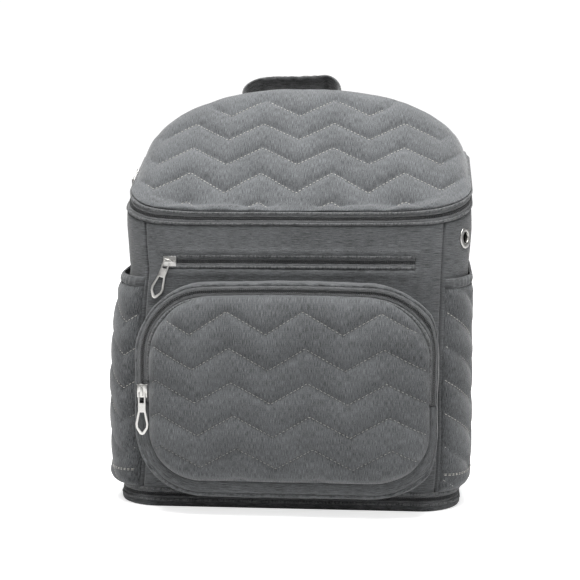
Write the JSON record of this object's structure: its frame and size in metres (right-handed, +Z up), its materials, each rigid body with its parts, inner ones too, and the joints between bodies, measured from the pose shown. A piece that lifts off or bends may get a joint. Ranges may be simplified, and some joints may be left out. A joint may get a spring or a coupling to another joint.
{
  "type": "diaper backpack",
  "caption": "Soft diaper backpack with a domed zip-around lid, chevron-quilted front and side pockets, flat zip pocket, carry handle, shoulder straps and expandable base.",
  "frame": {"origin": "centre of the underside of the base", "axes": "+Z up, the front pocket faces -Y, +X to the right of a viewer who faces the bag's front"},
  "size_m": [0.346, 0.2457, 0.4132],
  "materials": {
    "satin_metal": "satin nickel-plated zinc alloy",
    "zip_coil": "dark nylon coil",
    "zip_tape": "dark woven tape",
    "quilted_fabric": "heather polyester quilted in chevrons with light thread",
    "lining_fabric": "smooth grey lining",
    "piping": "heather fabric wrapped over a cord",
    "base_board": "stiff board covered in lining",
    "mesh_fabric": "spacer mesh over foam",
    "black_plastic": "moulded acetal",
    "webbing": "woven polyester webbing",
    "hem_fabric": "heather fabric folded over elastic",
    "base_fabric": "dark heather polyester",
    "body_fabric": "grey heather polyester"
  },
  "bodies": {
    "base": {"base_tray": "base_fabric", "base_board": "base_board", "base_zip_lower_tape": "zip_tape", "base_zip_coil": "zip_coil", "expansion_gusset": "body_fabric"},
    "shell": {"base_zip_upper_tape": "zip_tape", "front_panel": "body_fabric", "left_side_panel": "body_fabric", "right_side_panel": "body_fabric", "back_panel": "body_fabric", "lining": "lining_fabric", "inner_slip_pocket": "lining_fabric", "mouth_piping": "piping", "mouth_zip_tape": "zip_tape", "mouth_zip_coil": "zip_coil", "arch_zip_tape": "zip_tape", "lid_hinge_strip": "body_fabric", "front_zip_tapes": "zip_tape", "front_zip_coil": "zip_coil", "front_zip_slider": "satin_metal", "front_zip_bag": "lining_fabric", "pocket_gusset": "body_fabric", "pocket_lower_band": "body_fabric", "pocket_face_lower": "quilted_fabric", "pocket_outer_tape": "zip_tape", "pocket_zip_ends": "zip_tape", "pocket_zip_coil": "zip_coil", "left_side_pocket": "quilted_fabric", "right_side_pocket": "quilted_fabric", "left_pocket_hem": "hem_fabric", "right_pocket_hem": "hem_fabric", "grommet": "satin_metal", "grommet_washer": "satin_metal", "strap_yoke": "body_fabric", "back_pad": "mesh_fabric", "left_shoulder_strap": "body_fabric", "right_shoulder_strap": "body_fabric", "left_ladder_lock": "black_plastic", "right_ladder_lock": "black_plastic", "left_lower_webbing": "webbing", "right_lower_webbing": "webbing"},
    "lid": {"lid_quilt": "quilted_fabric", "lid_lining": "lining_fabric", "lid_piping": "piping", "lid_zip_tape": "zip_tape", "lid_arch_zip_tape": "zip_tape"},
    "pocket_flap": {"pocket_face_upper": "quilted_fabric", "pocket_piping": "piping", "pocket_inner_tape": "zip_tape"},
    "handle_loop": {"handle": "webbing"},
    "base_slider": {"base_zip_slider": "satin_metal"},
    "base_puller": {"base_zip_puller": "satin_metal"},
    "lid_slider_a": {"lid_slider_front": "satin_metal"},
    "lid_puller_a": {"lid_puller_front": "satin_metal"},
    "lid_slider_b": {"lid_slider_rear": "satin_metal"},
    "lid_puller_b": {"lid_puller_rear": "satin_metal"},
    "front_puller": {"front_zip_puller": "satin_metal"},
    "pocket_slider": {"pocket_zip_slider": "satin_metal"},
    "pocket_puller": {"pocket_zip_puller": "satin_metal"}
  },
  "joints": [
    {"name": "base_expansion", "type": "slide", "parent": "base", "child": "shell", "axis": [0, 0, 1], "range_m": [0, 0.045]},
    {"name": "lid_hinge", "type": "hinge", "parent": "shell", "child": "lid", "pos_m": [0, 0.059, 0.3806], "axis": [-1, 0, 0], "range_deg": [0, 105]},
    {"name": "pocket_flap_fold", "type": "hinge", "parent": "shell", "child": "pocket_flap", "pos_m": [0, -0.1134, 0.124], "axis": [1, 0, 0], "range_deg": [0, 45]},
    {"name": "handle_fold", "type": "hinge", "parent": "shell", "child": "handle_loop", "pos_m": [-0.012, 0.08518, 0.36], "axis": [-1, 0, 0], "range_deg": [0, 75]},
    {"name": "base_zip_travel", "type": "slide", "parent": "base", "child": "base_slider", "axis": [1, 0, 0], "range_m": [0, 0.235]},
    {"name": "base_puller_swing", "type": "hinge", "parent": "base_slider", "child": "base_puller", "pos_m": [-0.1177, 0.07765, 0.012], "axis": [0, 0, 1], "range_deg": [0, 120]},
    {"name": "lid_zip_travel_front", "type": "slide", "parent": "shell", "child": "lid_slider_a", "axis": [0, -0.922, -0.3872], "range_m": [0, 0.03]},
    {"name": "lid_puller_front_swing", "type": "hinge", "parent": "lid_slider_a", "child": "lid_puller_a", "pos_m": [-0.16305, 0.0054, 0.30357], "axis": [1, 0, 0], "range_deg": [-40, 8]},
    {"name": "lid_zip_travel_rear", "type": "slide", "parent": "shell", "child": "lid_slider_b", "axis": [0, 0.922, 0.3872], "range_m": [0, 0.018]},
    {"name": "lid_puller_rear_swing", "type": "hinge", "parent": "lid_slider_b", "child": "lid_puller_b", "pos_m": [-0.16305, 0.0306, 0.31415], "axis": [1, 0, 0], "range_deg": [-8, 40]},
    {"name": "front_puller_swing", "type": "hinge", "parent": "shell", "child": "front_puller", "pos_m": [-0.1149, -0.06785, 0.231], "axis": [0, -1, 0], "range_deg": [-70, 0]},
    {"name": "pocket_zip_travel", "type": "slide", "parent": "shell", "child": "pocket_slider", "axis": [0, 0, 1], "range_m": [0, 0.012]},
    {"name": "pocket_puller_swing", "type": "hinge", "parent": "pocket_slider", "child": "pocket_puller", "pos_m": [-0.1275, -0.10185, 0.1137], "axis": [1, 0, 0], "range_deg": [-120, 0]}
  ]
}
